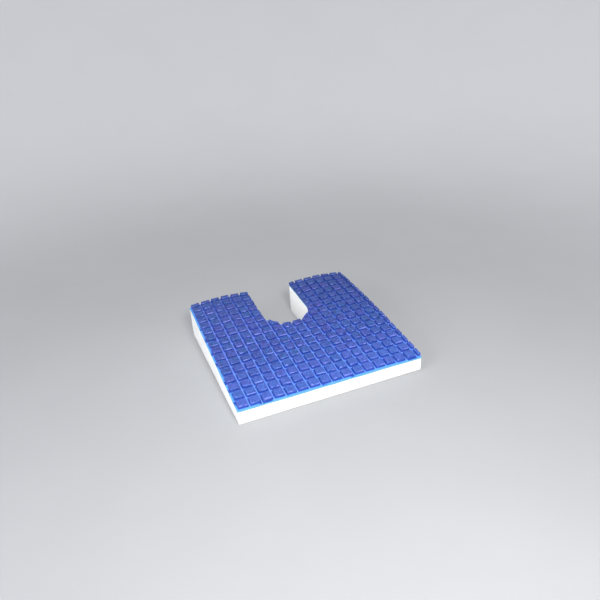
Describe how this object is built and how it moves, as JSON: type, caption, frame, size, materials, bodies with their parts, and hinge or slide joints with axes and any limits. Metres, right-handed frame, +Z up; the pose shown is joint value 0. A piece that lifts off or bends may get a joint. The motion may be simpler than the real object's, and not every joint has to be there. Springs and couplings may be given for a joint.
{
  "type": "seat cushion",
  "caption": "Foam wedge seat cushion with a blue gel sheet of raised square blocks on its slope and a U-shaped tailbone cut-out in the back edge.",
  "frame": {"origin": "middle of the footprint, on the surface that the cushion rests on", "axes": "+X to the sitter's right, +Y towards the backrest and the open end of the cut-out, +Z up"},
  "size_m": [0.432, 0.406, 0.0901],
  "materials": {
    "foam": "open-cell polyurethane foam, cut faces, matte",
    "adhesive": "milky adhesive sheet",
    "film": "thin smooth film",
    "gel": "soft moulded gel with a satin skin"
  },
  "bodies": {
    "root": {"foam_base": "foam", "bond_sheet": "adhesive", "carrier_film": "film", "gel_sheet": "gel"}
  },
  "joints": []
}
